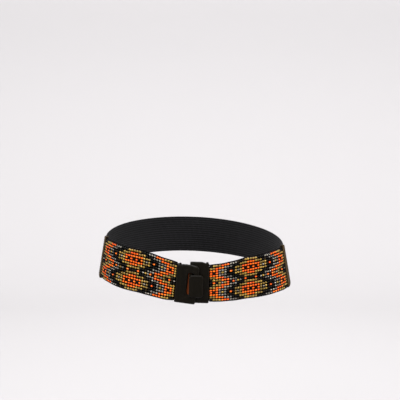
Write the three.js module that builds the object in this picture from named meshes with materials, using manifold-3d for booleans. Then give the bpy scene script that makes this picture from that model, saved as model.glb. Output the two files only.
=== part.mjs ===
// An elastic belt of seed beads, in millimetres, +Z up.
// The origin is the middle of the opening that the waist goes through, -Y is the front and +X the right
// as seen from the front. The belt keeps the form in which it is worn, low on the hips.
import * as THREE from "three";
import { mergeVertices } from "three/addons/utils/BufferGeometryUtils.js";
import Module from "manifold-3d";

const wasm = await Module();
wasm.setup();

const radians = THREE.MathUtils.degToRad;

// The loop round the hips. Half of it, from the middle of the front to the middle of the back, is arcs that
// run on smoothly, each turning by "turn" degrees. The last radius is the one that closes the loop.
const HIP_ARCS = [
  { part: "front", radius: 400, turn: 14.5 },
  { part: "hip", radius: 70, turn: 50.5 },
  { part: "side", radius: 46, turn: 25 },
  { part: "rear hip", radius: 130, turn: 45 },
  { part: "back", radius: null, turn: 45 },
];
// Degrees by which the band leans out at its lower edge: in front, at each hip and behind.
const FLARE = { front: 9.5, left: 7, right: 12.5, back: 9 };
const FLARE_CHANGES = [100, 173]; // along the belt, from the front's flare to the hip's
const FRONT_DIP = 17; // how far the middle of the front hangs below the hips
const DIP_REACH = 150; // along the belt from the middle of the front to where the dip ends
const WORN_TILT = 10; // degrees by which the front is worn lower than the back
const WORN_ROLL = 3; // degrees by which the -X side is worn higher

const GAP = 0.3; // between pieces that touch

// The beads
const ROWS = 15;
const BEAD = 3.9; // diameter
const RIB_ANGLES = [-60, 0, 60]; // where each row's round front has its corners
const EDGE_CORD = { diameter: 1.5, from: 2.65 }; // the cord along each edge, and how far from the outer row
const COLUMNS_PER_STEP = 2; // columns of beads between two cuts through a panel
const PANEL_END = 165.6; // along the belt, where the last bead of each panel ends
// The rows lie close together at the buckle and spread out towards the hip. "pitch" is from row to row and
// "middle" how high the middle row runs above the middle of the band, each at shares of the panel's length.
// "raised" is how high the leather strip at the panel's end is sewn.
const PANELS = {
  left: {
    side: -1, columns: 33, start: 26.3, startLean: 0.05,
    pitch: [[0, 4.06], [0.1, 4.28], [0.35, 4.5], [0.55, 4.5], [1, 4.3]],
    middle: [[0, -0.6], [0.1, 0], [0.3, 1], [0.4, 0.6], [0.6, -0.7], [1, -1.3]],
    raised: -0.7,
  },
  right: {
    side: 1, columns: 32, start: 28.3, startLean: 0.03,
    pitch: [[0, 3.85], [0.1, 3.93], [0.3, 4.2], [0.4, 4.36], [0.6, 4.45], [1, 4.45]],
    middle: [[0, -1], [0.3, -1.2], [0.42, -0.5], [0.6, -0.5], [0.8, -0.1], [1, -0.1]],
    raised: 1.4,
  },
};

// The leather and the elastic at the back
const WEBBING = { thick: 1.6, height: 66, tuck: 10.5 };
const LEATHER = { thick: 1.4, height: 71, length: 16, foldSteps: 10, layerSteps: 4 };
const LEATHER_PARED = 3; // how much the leather's corners are pared away at its open edge
const END_ROD = { diameter: 1.7, sides: 12 };
const ELASTIC_STEPS = 48; // round the back, from hip to hip

// The buckle's two boards and their pins
const BOARD = 4; // thickness
const BOARD_EDGE = 1.4; // how far the edges are rounded off
const EDGE_STEPS = 3;
const CORNER_STEPS = 5;
const WELD = 1e-4; // points closer than this are one
const OVERLAP = 1; // how far solids that are joined or cut run into or past each other
const RING = {
  left: -17, right: 17, topRight: 19, half: 31, crown: 1.2,
  at: [-8.9, -2.3], turn: 2.9, tilt: 7, lift: 3.45, corner: 2.6, loopCorner: 6,
};
const SLOT = { left: 1.6, right: 11.4, bottom: -16.5, top: 18.4, corner: 1.6, footCorner: 5 };
const HOOK = {
  at: [6, 0], turn: -1.7, right: 21.6, left: -9.4, bottom: -32.4, top: 34.5, topRight: 32.2,
  shoulder: [10, 16.5], back: -2.2,
};
const NOTCH = { depth: 3.5, top: 21, bottom: -25 }; // in the hook board's left edge, for the tongue
const TONGUE = { length: 11.8, thick: 2.8 };
const TAB = { width: 23, height: 36, corner: 6, thick: 3.2, edge: 1.3, rise: 7.9, at: [1.1, -4.1] };
const NECK = { thick: 4, top: 15, bottom: -15 }; // from the back of the tab to the tongue
const PIN = { diameter: 2.2, length: 60, sides: 16, inset: { ring: 4.4, hook: 3.4 } };
const PIN_HEAD = { diameter: 4, topDiameter: 2.4, height: 1.7, crown: 0.5 }; // narrower in its crown
const REBATE = { depth: 2.9, height: 56, width: 7 }; // in the back of each board, where the strands loop

const FINISH = {
  beads: new THREE.MeshStandardMaterial({ color: 0x15181a, roughness: 0.2, metalness: 0 }),
  darkWood: new THREE.MeshStandardMaterial({ color: 0x1d1b16, roughness: 0.5, metalness: 0 }),
  bareWood: new THREE.MeshStandardMaterial({ color: 0x7c401a, roughness: 0.6, metalness: 0 }),
  leather: new THREE.MeshStandardMaterial({ color: 0x3f3520, roughness: 0.65, metalness: 0 }),
  elastic: new THREE.MeshStandardMaterial({ color: 0x101010, roughness: 0.9, metalness: 0 }),
  rod: new THREE.MeshStandardMaterial({ color: 0x2b1c12, roughness: 0.5, metalness: 0.6 }),
};

// Follows the arcs of half the loop. Each arc gets its start: distance, place, heading and radius.
function walkArcs() {
  let [distance, x, y, heading] = [0, 0, 0, 0];
  const arcs = [];
  for (const arc of HIP_ARCS) {
    const turn = radians(arc.turn);
    const radius = arc.radius ?? x / Math.sin(turn);
    arcs.push({ distance, x, y, heading, radius });
    x += radius * (Math.sin(heading + turn) - Math.sin(heading));
    y += radius * (Math.cos(heading) - Math.cos(heading + turn));
    heading += turn;
    distance += radius * turn;
  }
  return { arcs, halfGirth: distance, depth: y };
}

const HIPS = walkArcs();

// The place and heading at a distance along the belt from the middle of the front, positive towards +X.
function loopAt(distance) {
  const along = Math.abs(distance);
  const side = Math.sign(distance) || 1;
  const arc = HIPS.arcs.findLast((each) => each.distance <= along);
  const heading = arc.heading + (along - arc.distance) / arc.radius;
  return {
    x: side * (arc.x + arc.radius * (Math.sin(heading) - Math.sin(arc.heading))),
    y: arc.y + arc.radius * (Math.cos(arc.heading) - Math.cos(heading)) - HIPS.depth / 2,
    heading: side * heading,
  };
}

// Goes from one value to another, slowly at both ends.
function blend(from, to, share) {
  const within = Math.min(Math.max(share, 0), 1);
  return from + ((to - from) * (1 - Math.cos(Math.PI * within))) / 2;
}

// How far the band hangs below the level of the hips.
function dipAt(distance) {
  return blend(FRONT_DIP, 0, Math.abs(distance) / DIP_REACH);
}

function flareAt(distance) {
  const along = Math.abs(distance);
  const [start, end] = FLARE_CHANGES;
  const hip = distance < 0 ? FLARE.left : FLARE.right;
  if (along < end) return blend(FLARE.front, hip, (along - start) / (end - start));
  return blend(hip, FLARE.back, (along - end) / (HIPS.halfGirth - end));
}

// A point of the band: along it, up its height from its middle, and out from its middle surface.
function bandPoint(distance, height, out) {
  const { x, y, heading } = loopAt(distance);
  const lean = radians(flareAt(distance));
  const away = out * Math.cos(lean) - height * Math.sin(lean);
  const up = height * Math.cos(lean) + out * Math.sin(lean);
  return new THREE.Vector3(
    x + away * Math.sin(heading),
    y - away * Math.cos(heading),
    up - dipAt(distance),
  );
}

// A closed body through rings of points that follow the same outline, with its faces pointing out.
function skin(rings, outline) {
  const count = outline.length;
  const triangles = [];
  for (let ring = 0; ring + 1 < rings.length; ring += 1) {
    for (let point = 0; point < count; point += 1) {
      const next = (point + 1) % count;
      const [a, b] = [ring * count + point, ring * count + next];
      triangles.push([a, b, b + count], [a, b + count, a + count]);
    }
  }
  const last = (rings.length - 1) * count;
  for (const [a, b, c] of THREE.ShapeUtils.triangulateShape(outline, [])) {
    triangles.push([a, c, b], [a + last, b + last, c + last]);
  }
  const points = rings.flat();
  const inward = volumeOf(points, triangles) < 0;
  const geometry = new THREE.BufferGeometry().setFromPoints(points);
  geometry.setIndex(triangles.flatMap(([a, b, c]) => (inward ? [a, c, b] : [a, b, c])));
  return geometry;
}

function volumeOf(points, triangles) {
  const part = new THREE.Vector3();
  const parts = triangles.map(([a, b, c]) => points[a].dot(part.crossVectors(points[b], points[c])) / 6);
  return parts.reduce((total, each) => total + each, 0);
}

function evenly(from, to, steps) {
  return Array.from({ length: steps + 1 }, (_, step) => from + ((to - from) * step) / steps);
}

function arcPoints(x, y, radius, from, to, steps) {
  return evenly(radians(from), radians(to), steps).map(
    (angle) => new THREE.Vector2(x + radius * Math.cos(angle), y + radius * Math.sin(angle)),
  );
}

// The value at a place from 0 to 1, on straight lines between knots of place and value.
function follow(knots, place) {
  const next = Math.max(knots.findIndex(([at]) => at >= place), 1);
  const [[start, low], [end, high]] = knots.slice(next - 1, next + 1);
  return low + ((high - low) * (place - start)) / (end - start);
}

// The cut across a panel, as height and distance out: a rib for each row of beads and each edge's cord.
function ribbedOutline(pitch, middle) {
  const outer = ((ROWS - 1) / 2) * pitch;
  const rib = (height, diameter, angles) => angles.map(radians).map((angle) => new THREE.Vector2(
    middle + height - (diameter / 2) * Math.sin(angle), (diameter / 2) * Math.cos(angle),
  ));
  const { diameter, from } = EDGE_CORD;
  const front = [
    ...rib(outer + from, diameter, RIB_ANGLES.slice(0, 2)),
    ...evenly(outer, -outer, ROWS - 1).flatMap((height) => rib(height, BEAD, RIB_ANGLES)),
    ...rib(-outer - from, diameter, RIB_ANGLES.slice(1)),
  ];
  const back = front.map(({ x, y }) => new THREE.Vector2(x, -y)).reverse();
  return [...front, ...back];
}

function beadPanel({ side, columns, start, startLean, pitch, middle }) {
  const outlines = evenly(0, 1, Math.floor(columns / COLUMNS_PER_STEP)).map((share) => ({
    share,
    outline: ribbedOutline(follow(pitch, share), follow(middle, share)),
  }));
  const rings = outlines.map(({ share, outline }) =>
    outline.map(({ x: height, y: out }) => {
      const from = start - startLean * height;
      return bandPoint(side * (from + share * (PANEL_END - from)), height, out);
    }));
  return skin(rings, outlines[0].outline);
}

// A piece at the end of a panel, the same cut all the way up. "reach" is how far it goes up and down.
function acrossBand(outline, { side, raised }, reach) {
  const rings = [-1, 1].map((way) => outline.map(({ x: distance, y: out }) =>
    bandPoint(side * distance, raised + way * reach(distance), out)));
  return skin(rings, outline);
}

const FOLD = {
  cavity: WEBBING.thick / 2 + GAP,
  half: WEBBING.thick / 2 + GAP + LEATHER.thick,
  start: PANEL_END + GAP,
};
FOLD.middle = FOLD.start + FOLD.half;
FOLD.end = FOLD.start + LEATHER.length;

// Leather folded round the ends of the strands, open towards the back where the elastic goes in.
function sideStrip(panel) {
  const { foldSteps, layerSteps } = LEATHER;
  const layer = (out) =>
    evenly(FOLD.middle, FOLD.end, layerSteps).slice(1).map((x) => new THREE.Vector2(x, out));
  const outline = [
    ...layer(FOLD.half).reverse(),
    ...arcPoints(FOLD.middle, 0, FOLD.half, 90, 270, foldSteps),
    ...layer(-FOLD.half),
    ...layer(-FOLD.cavity).reverse(),
    ...arcPoints(FOLD.middle, 0, FOLD.cavity, 270, 90, foldSteps),
    ...layer(FOLD.cavity),
  ];
  const pared = (distance) => LEATHER_PARED * ((distance - FOLD.start) / LEATHER.length) ** 2;
  return acrossBand(outline, panel, (distance) => LEATHER.height / 2 - pared(distance));
}

function endRod(panel) {
  const { diameter, sides } = END_ROD;
  const round = arcPoints(FOLD.middle, 0, diameter / 2, 0, 360, sides).slice(1);
  return acrossBand(round, panel, () => LEATHER.height / 2 - GAP);
}

function backElastic() {
  const tucked = FOLD.end - WEBBING.tuck;
  const [half, thick] = [WEBBING.height / 2, WEBBING.thick / 2];
  const outline = [[-half, -thick], [half, -thick], [half, thick], [-half, thick]].map(
    ([height, out]) => new THREE.Vector2(height, out),
  );
  const girth = 2 * HIPS.halfGirth;
  const rings = evenly(tucked, girth - tucked, ELASTIC_STEPS).map((along) => {
    const distance = along > HIPS.halfGirth ? along - girth : along;
    return outline.map(({ x: height, y: out }) => bandPoint(distance, height, out));
  });
  return skin(rings, outline);
}

// Solids for cutting and joining, and back.
function solidOf(geometry) {
  const bare = geometry.clone();
  bare.deleteAttribute("normal");
  bare.deleteAttribute("uv");
  const merged = mergeVertices(bare, WELD);
  return new wasm.Manifold(new wasm.Mesh({
    numProp: 3,
    vertProperties: merged.attributes.position.array,
    triVerts: new Uint32Array(merged.index.array),
  }));
}

function geometryOf(solid) {
  const { vertProperties, triVerts } = solid.getMesh();
  const geometry = new THREE.BufferGeometry();
  geometry.setAttribute("position", new THREE.BufferAttribute(vertProperties, 3));
  return geometry.setIndex(new THREE.BufferAttribute(triVerts, 1));
}

function boxOf([left, right], [back, front], [bottom, top]) {
  const box = new THREE.BoxGeometry(right - left, front - back, top - bottom);
  return solidOf(box.translate((left + right) / 2, -(back + front) / 2, (bottom + top) / 2));
}

function uprightRod(diameter, length) {
  return new THREE.CylinderGeometry(diameter / 2, diameter / 2, length, PIN.sides).rotateX(Math.PI / 2);
}

// A closed outline with its corners rounded off. The edge before the last corner may be crowned.
function roundedPath(path, corners, radii, crown = 0) {
  const points = corners.map(([x, y]) => new THREE.Vector2(x, y));
  points.forEach((corner, place) => {
    const towards = (other) => other.clone().sub(corner).setLength(radii[place]).add(corner);
    const start = towards(points.at(place - 1));
    const end = towards(points[(place + 1) % points.length]);
    if (place === 0) {
      path.moveTo(start.x, start.y);
    } else if (crown && place === points.length - 1) {
      path.quadraticCurveTo((path.currentPoint.x + start.x) / 2, start.y + 2 * crown, start.x, start.y);
    } else {
      path.lineTo(start.x, start.y);
    }
    path.quadraticCurveTo(corner.x, corner.y, end.x, end.y);
  });
  path.closePath();
  return path;
}

// A flat board whose outline is drawn as seen from the front. It stands up, its back face at "back".
function board(shape, thick, edge, back) {
  const flat = new THREE.ExtrudeGeometry(shape, {
    depth: thick - 2 * edge,
    bevelThickness: edge,
    bevelSize: edge,
    bevelOffset: -edge,
    bevelSegments: EDGE_STEPS,
    curveSegments: CORNER_STEPS,
  });
  return flat.translate(0, 0, edge + back).rotateX(Math.PI / 2);
}

// A pin's rod hangs from just above its board's top edge. The middle of its height:
function pinMiddle(top) {
  return top + GAP + (OVERLAP - PIN.length) / 2;
}

// The blind bore for a board's pin, and the rebate in its back where the strands loop round the pin.
function pinHousing(x, top, edge, back) {
  const rod = uprightRod(PIN.diameter + 2 * GAP, PIN.length + 2 * OVERLAP);
  const bore = solidOf(rod.translate(x, -back - BOARD / 2, pinMiddle(top)));
  const inner = x + Math.sign(x) * (PIN.diameter / 2 - REBATE.width);
  const outer = edge + Math.sign(edge) * OVERLAP;
  const [left, right] = [Math.min(inner, outer), Math.max(inner, outer)];
  const half = REBATE.height / 2;
  return bore.add(boxOf([left, right], [back - OVERLAP, back + REBATE.depth], [-half, half]));
}

const RING_PIN_TOP = RING.half + RING.crown / 2; // where the crowned top edge passes the pin

function buckleRing() {
  const { left, right, topRight, half, crown, corner, loopCorner } = RING;
  const shape = roundedPath(
    new THREE.Shape(), [[left, -half], [right, -half], [topRight, half], [left, half]],
    [corner, corner, loopCorner, corner], crown,
  );
  const { bottom, top } = SLOT;
  shape.holes.push(roundedPath(
    new THREE.Path(), [[SLOT.left, bottom], [SLOT.right, bottom], [SLOT.right, top], [SLOT.left, top]],
    [SLOT.footCorner, SLOT.corner, SLOT.corner, SLOT.corner],
  ));
  const flat = solidOf(board(shape, BOARD, BOARD_EDGE, -BOARD / 2));
  return geometryOf(flat.subtract(pinHousing(left + PIN.inset.ring, RING_PIN_TOP, left, -BOARD / 2)));
}

function hookPlate() {
  const { left, right, bottom, top, topRight, shoulder, back } = HOOK;
  const outline = [
    [left, top], [left, NOTCH.top], [left + NOTCH.depth, NOTCH.top], [left + NOTCH.depth, NOTCH.bottom],
    [left, NOTCH.bottom], [left, bottom], [right, bottom], [right, topRight],
    [shoulder[1], topRight], [shoulder[0], top],
  ];
  const shape = new THREE.Shape(outline.map(([x, y]) => new THREE.Vector2(x, y)));
  const flat = solidOf(board(shape, BOARD, BOARD_EDGE, back));
  return geometryOf(flat.subtract(pinHousing(right - PIN.inset.hook, topRight, right, back)));
}

// The tongue lies behind the ring, in the notch of the hook's board.
const TONGUE_RIGHT = HOOK.left + NOTCH.depth - GAP;
const TONGUE_FRONT = HOOK.back + TONGUE.thick;

function hookTongue() {
  return new THREE.BoxGeometry(TONGUE.length, TONGUE.thick, NOTCH.top - NOTCH.bottom - 2 * GAP).translate(
    TONGUE_RIGHT - TONGUE.length / 2,
    -(HOOK.back + TONGUE_FRONT) / 2,
    (NOTCH.top + NOTCH.bottom) / 2,
  );
}

// The raised tab, and the neck that goes back from it through the ring's slot to the tongue.
function hookTab() {
  const { width, height, corner, thick, edge, rise, at: [x, y] } = TAB;
  const [left, right, bottom, top] = [x - width / 2, x + width / 2, y - height / 2, y + height / 2];
  const corners = [[left, bottom], [right, bottom], [right, top], [left, top]];
  const shape = roundedPath(new THREE.Shape(), corners, [corner, corner, corner, corner]);
  const neck = boxOf(
    [TONGUE_RIGHT - NECK.thick, TONGUE_RIGHT],
    [TONGUE_FRONT + GAP, rise + OVERLAP],
    [NECK.bottom, NECK.top],
  );
  return geometryOf(solidOf(board(shape, thick, edge, rise)).add(neck));
}

// A pin hangs by its head from the board's top edge.
function strandPin(x, top, back) {
  const { diameter, topDiameter, height, crown } = PIN_HEAD;
  const low = top + GAP;
  const rod = uprightRod(PIN.diameter, PIN.length).translate(0, 0, pinMiddle(top));
  const head = uprightRod(diameter, height - crown).translate(0, 0, low + (height - crown) / 2);
  const dome = new THREE.CylinderGeometry(topDiameter / 2, diameter / 2, crown, PIN.sides);
  const cap = dome.rotateX(Math.PI / 2).translate(0, 0, low + height - crown / 2);
  const pin = solidOf(rod).add(solidOf(head)).add(solidOf(cap));
  return geometryOf(pin).translate(x, -back - BOARD / 2, 0);
}

function piece(name, geometry, material) {
  const mesh = new THREE.Mesh(geometry, material);
  mesh.name = name;
  return mesh;
}

function ringHalf() {
  const half = new THREE.Group();
  half.position.set(RING.at[0], -RING.lift, RING.at[1]);
  half.rotation.set(0, radians(RING.turn), radians(-RING.tilt));
  const pin = strandPin(RING.left + PIN.inset.ring, RING_PIN_TOP, -BOARD / 2);
  half.add(piece("buckle_ring", buckleRing(), FINISH.darkWood));
  half.add(piece("strand_pin_left", pin, FINISH.darkWood));
  return half;
}

function hookHalf() {
  const half = new THREE.Group();
  half.position.set(HOOK.at[0], 0, HOOK.at[1]);
  half.rotation.set(0, radians(HOOK.turn), 0);
  half.add(piece("buckle_hook_plate", hookPlate(), FINISH.darkWood));
  half.add(piece("hook_tongue", hookTongue(), FINISH.bareWood));
  half.add(piece("hook_tab", hookTab(), FINISH.darkWood));
  const pin = strandPin(HOOK.right - PIN.inset.hook, HOOK.topRight, HOOK.back);
  half.add(piece("strand_pin_right", pin, FINISH.darkWood));
  return half;
}

function buckle() {
  const group = new THREE.Group();
  group.position.copy(bandPoint(0, 0, 0));
  group.rotation.x = radians(-FLARE.front);
  group.add(ringHalf(), hookHalf());
  return group;
}

const belt = new THREE.Group();
belt.rotation.set(radians(WORN_TILT), radians(WORN_ROLL), 0);
belt.add(buckle());
for (const [name, panel] of Object.entries(PANELS)) {
  belt.add(piece(`bead_panel_${name}`, beadPanel(panel), FINISH.beads));
  belt.add(piece(`side_strip_${name}`, sideStrip(panel), FINISH.leather));
  belt.add(piece(`end_rod_${name}`, endRod(panel), FINISH.rod));
}
belt.add(piece("back_elastic", backElastic(), FINISH.elastic));

export default belt;
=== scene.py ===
# %% [markdown]
# # An elastic belt of seed beads, with a wooden hook buckle
#
# The belt is worn low on the hips. Two panels of glass beads run from a dark wooden buckle to a folded
# leather strip at each hip, and a black elastic band closes the loop round the back.
#
# The CAD model has these parts as plain solids in one frame, in metres, with +Z up and the buckle
# towards -Y. Every piece made here lies where its solid lies, so this file repeats the belt's own
# measures and builds on them. Measures are in millimetres until a mesh is made.

# %% Load the frame
import math
import random
from itertools import pairwise

import bmesh
import bpy
from mathutils import Euler, Matrix, Vector
from mathutils.geometry import tessellate_polygon


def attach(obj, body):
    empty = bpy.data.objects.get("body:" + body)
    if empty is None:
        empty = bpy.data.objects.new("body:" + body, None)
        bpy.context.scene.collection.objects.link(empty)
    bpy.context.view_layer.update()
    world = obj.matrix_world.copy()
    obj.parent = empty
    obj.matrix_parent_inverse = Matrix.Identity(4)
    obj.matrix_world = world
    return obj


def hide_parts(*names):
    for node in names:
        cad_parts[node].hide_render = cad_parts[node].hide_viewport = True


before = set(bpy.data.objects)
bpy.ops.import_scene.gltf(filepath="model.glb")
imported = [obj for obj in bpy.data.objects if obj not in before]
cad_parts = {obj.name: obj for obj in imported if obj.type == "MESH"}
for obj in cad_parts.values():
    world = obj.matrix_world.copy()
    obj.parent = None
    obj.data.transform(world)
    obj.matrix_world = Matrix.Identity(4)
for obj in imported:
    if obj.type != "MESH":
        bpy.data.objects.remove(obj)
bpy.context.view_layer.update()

MM = 0.001

# %% [markdown]
# ## The camera
#
# The belt is looked at from 2.5 m, almost level with it and a little from the right, through a long
# lens, which keeps the two hips in proportion. A camera is easiest to place by two angles round the
# belt. Its aim is then turned until the middle of the belt falls on the wanted point of the picture, so
# the lens needs no shift.

# %% Place the camera
VIEW = {"azimuth": 3.17, "elevation": 7.94, "distance": 2500}
LENS, SENSOR, PICTURE = 135, 36, 400  # mm, mm and pixels
AIM_ROUNDS = 20
MIDDLE_AT = (195.82, 252.64)  # where the origin falls in the picture, from its top left corner


def camera_place(azimuth, elevation, distance):
    a, e = math.radians(azimuth), math.radians(elevation)
    return distance * Vector((math.sin(a) * math.cos(e), -math.cos(a) * math.cos(e), math.sin(e)))


def aim_at_origin(place, wanted):
    """Turns a level camera, a little in each round, until the origin falls on the wanted point."""
    pixels = LENS / SENSOR * PICTURE
    pitch, yaw = math.radians(VIEW["elevation"]), math.radians(VIEW["azimuth"])
    for _ in range(AIM_ROUNDS):
        turn = Euler((math.pi / 2 - pitch, 0, yaw))
        seen = turn.to_matrix().transposed() @ -place
        right = PICTURE / 2 - pixels * seen.x / seen.z
        down = PICTURE / 2 + pixels * seen.y / seen.z
        yaw += (wanted[0] - right) / pixels
        pitch -= (wanted[1] - down) / pixels
    return turn


camera_data = bpy.data.cameras.new("camera")
camera_data.lens, camera_data.sensor_width = LENS, SENSOR
camera_data.clip_start, camera_data.clip_end = 0.1, 50
camera = bpy.data.objects.new("camera", camera_data)
place = camera_place(**VIEW)
camera.location = place * MM
camera.rotation_euler = aim_at_origin(place, MIDDLE_AT)
bpy.context.scene.collection.objects.link(camera)
bpy.context.scene.camera = camera
print("camera at", camera.location, "turned", camera.rotation_euler)

# %% [markdown]
# ## The line of the belt
#
# A belt that is worn is not a flat ring. Seen from above it is a smooth loop, nearly flat over the belly
# and tight round the hips. Its middle dips in front, its lower edge stands out over the hips, and the
# whole loop is worn lower in front.
#
# Bending a straight strip along a curve object would give this too, but then no bead would know its
# own place. Here one function does it: it takes a distance along the belt, a height on the band
# and a distance out from its middle surface, and gives the point in space.

# %% Follow the loop
HIP_ARCS = [(400, 14.5), (70, 50.5), (46, 25), (130, 45), (None, 45)]  # radius and turn, from the front
FLARE = {"front": 9.5, "left": 7, "right": 12.5, "back": 9}  # how far its top leans in, in degrees
FLARE_CHANGES = (100, 173)  # where it goes from the front's lean to the hip's
FRONT_DIP, DIP_REACH = 17, 150
WORN = Matrix.Rotation(math.radians(10), 4, "X") @ Matrix.Rotation(math.radians(3), 4, "Y")
GAP = 0.3  # between two parts that would otherwise touch


def walk_arcs():
    """The start of each arc: distance, place, heading and radius. The last radius closes the loop."""
    distance = x = y = heading = 0.0
    arcs = []
    for radius, turn in HIP_ARCS:
        turn = math.radians(turn)
        radius = radius or x / math.sin(turn)
        arcs.append((distance, x, y, heading, radius))
        x += radius * (math.sin(heading + turn) - math.sin(heading))
        y += radius * (math.cos(heading) - math.cos(heading + turn))
        heading += turn
        distance += radius * turn
    return arcs, distance, y


ARCS, HALF_GIRTH, LOOP_DEPTH = walk_arcs()
print(f"girth {2 * HALF_GIRTH:.0f} mm, front to back {LOOP_DEPTH:.0f} mm")

# %% Find a point of the band


def blend(start, end, share):
    """Goes from one value to another, slowly at both ends."""
    share = min(max(share, 0), 1)
    return start + (end - start) * (1 - math.cos(math.pi * share)) / 2


def flare_at(distance):
    along = abs(distance)
    hip = FLARE["left"] if distance < 0 else FLARE["right"]
    start, end = FLARE_CHANGES
    if along < end:
        return blend(FLARE["front"], hip, (along - start) / (end - start))
    return blend(hip, FLARE["back"], (along - end) / (HALF_GIRTH - end))


def flat_point(distance, height, out):
    """A point of the band before the belt is tilted as it is worn."""
    along, side = abs(distance), math.copysign(1, distance)
    start, x, y, heading, radius = [arc for arc in ARCS if arc[0] <= along][-1]
    now = heading + (along - start) / radius
    x += radius * (math.sin(now) - math.sin(heading))
    y += radius * (math.cos(heading) - math.cos(now)) - LOOP_DEPTH / 2
    lean = math.radians(flare_at(distance))
    away = out * math.cos(lean) - height * math.sin(lean)
    up = height * math.cos(lean) + out * math.sin(lean)
    dip = blend(FRONT_DIP, 0, along / DIP_REACH)
    return Vector((side * (x + away * math.sin(now)), y - away * math.cos(now), up - dip))


def band_point(distance, height=0.0, out=0.0):
    return WORN @ flat_point(distance, height, out)


def band_frame(distance, height=0.0):
    """The directions along the band, up it and out from it, at one of its points."""
    step = 0.5
    along = (band_point(distance + step, height) - band_point(distance - step, height)).normalized()
    up = (band_point(distance, height + step) - band_point(distance, height - step)).normalized()
    out = (band_point(distance, height, 1) - band_point(distance, height)).normalized()
    return along, up, out


print("middle of the front:", band_point(0.01), " left hip:", band_point(-170))

# %% [markdown]
# ## From points to pieces
#
# Nearly every piece here is a skin stretched over rings of points: a bead is a ring turned round its
# hole, a strand a ring carried along a path, the elastic a ribbed ring carried round the hips. So a
# piece is gathered as a plain list of points and faces, and becomes a mesh only once it is whole.

# %% Gather points and faces


def gather(*more):
    """An empty shape. more names what its points carry besides their tone."""
    return {key: [] for key in ("points", "faces", "materials", "tone", *more)}


def add_rings(shape, rings, material=0, tone=0.5, ends=True, closed=False):
    """Joins rings of equally many points by faces. closed joins the last ring to the first."""
    first, count = len(shape["points"]), len(rings[0])
    for ring in rings:
        shape["points"].extend(ring)
        shape["tone"].extend([tone] * count)
    rows = list(pairwise(range(len(rings)))) + ([(len(rings) - 1, 0)] if closed else [])
    faces = []
    for here, there in rows:
        for point in range(count):
            after = (point + 1) % count
            corners = ((here, point), (here, after), (there, after), (there, point))
            faces.append([first + ring * count + corner for ring, corner in corners])
    if ends and not closed:
        last = first + (len(rings) - 1) * count
        faces += [list(range(first, first + count))[::-1], list(range(last, last + count))]
    shape["faces"].extend(faces)
    shape["materials"].extend([material] * len(faces))


DOME_NARROWS = 0.55  # a domed end's last ring, as a share of the tube's radius


def add_tube(shape, path, radius, sides=8, material=0, dome=0.0):
    """A round rod or thread along a path of points. dome is how far its two ends stand out, rounded off."""
    path = [Vector(point) for point in path]
    ways = [(b - a).normalized() for a, b in pairwise(path)]
    headings = [ways[0], *[(a + b).normalized() for a, b in pairwise(ways)], ways[-1]]
    side = headings[0].orthogonal().normalized()
    stations = [(point, heading, radius) for point, heading in zip(path, headings)]
    if dome:
        start, end = stations[0], stations[-1]
        stations.insert(0, (start[0] - start[1] * dome, start[1], radius * DOME_NARROWS))
        stations.append((end[0] + end[1] * dome, end[1], radius * DOME_NARROWS))
    rings = []
    for point, heading, size in stations:
        side = (side - heading * side.dot(heading)).normalized()
        up = heading.cross(side)
        angles = [2 * math.pi * step / sides for step in range(sides)]
        rings.append([point + (side * math.cos(a) + up * math.sin(a)) * size for a in angles])
    add_rings(shape, rings, material)


# %% Make the mesh, let it ride on the belt and hide the solids it stands for
SHARP, ROUND = 35, 80  # the angle from which an edge is drawn sharp, on flat things and on round ones


def mesh_of(name, shape):
    """A mesh of a shape's points and faces, all faces turned outwards."""
    mesh = bpy.data.meshes.new(name)
    mesh.from_pydata([point * MM for point in shape["points"]], [], shape["faces"])
    form = bmesh.new()
    form.from_mesh(mesh)
    bmesh.ops.recalc_face_normals(form, faces=form.faces)
    form.to_mesh(mesh)
    form.free()
    return mesh


def smooth(mesh, sharp=SHARP):
    mesh.shade_smooth()
    mesh.set_sharp_from_angle(angle=math.radians(sharp))


def make_piece(name, shape, materials, nodes=(), sharp=SHARP):
    """nodes name the CAD solids that the piece stands for, which are hidden."""
    mesh = mesh_of(name, shape)
    for key in ("tone", "rim_shade"):
        if key in shape:
            mesh.attributes.new(key, "FLOAT", "POINT").data.foreach_set("value", shape[key])
    if "belt_mm" in shape:
        places = [value for place in shape["belt_mm"] for value in place]
        mesh.attributes.new("belt_mm", "FLOAT_VECTOR", "POINT").data.foreach_set("vector", places)
    for material in materials:
        mesh.materials.append(material)
    mesh.polygons.foreach_set("material_index", shape["materials"])
    smooth(mesh, sharp)
    piece = bpy.data.objects.new(name, mesh)
    bpy.context.scene.collection.objects.link(piece)
    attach(piece, "root")
    if nodes:
        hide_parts(*nodes)
    print(f"{name}: {len(mesh.vertices)} points, {len(mesh.polygons)} faces")
    return piece


# %% [markdown]
# ## Materials: how they are written
#
# A material is a small graph. Colours are written as the hex values that a screen shows, and Blender
# works with light itself, so one function turns them to linear values. Another adds a node with its
# settings and its links, and every material below is made with it.

# %% Colours and nodes


def linear(colour):
    """An sRGB hex colour as linear red, green, blue and 1."""
    values = [int(colour[place : place + 2], 16) / 255 for place in (1, 3, 5)]
    return [v / 12.92 if v <= 0.04045 else ((v + 0.055) / 1.055) ** 2.4 for v in values] + [1.0]


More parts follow.
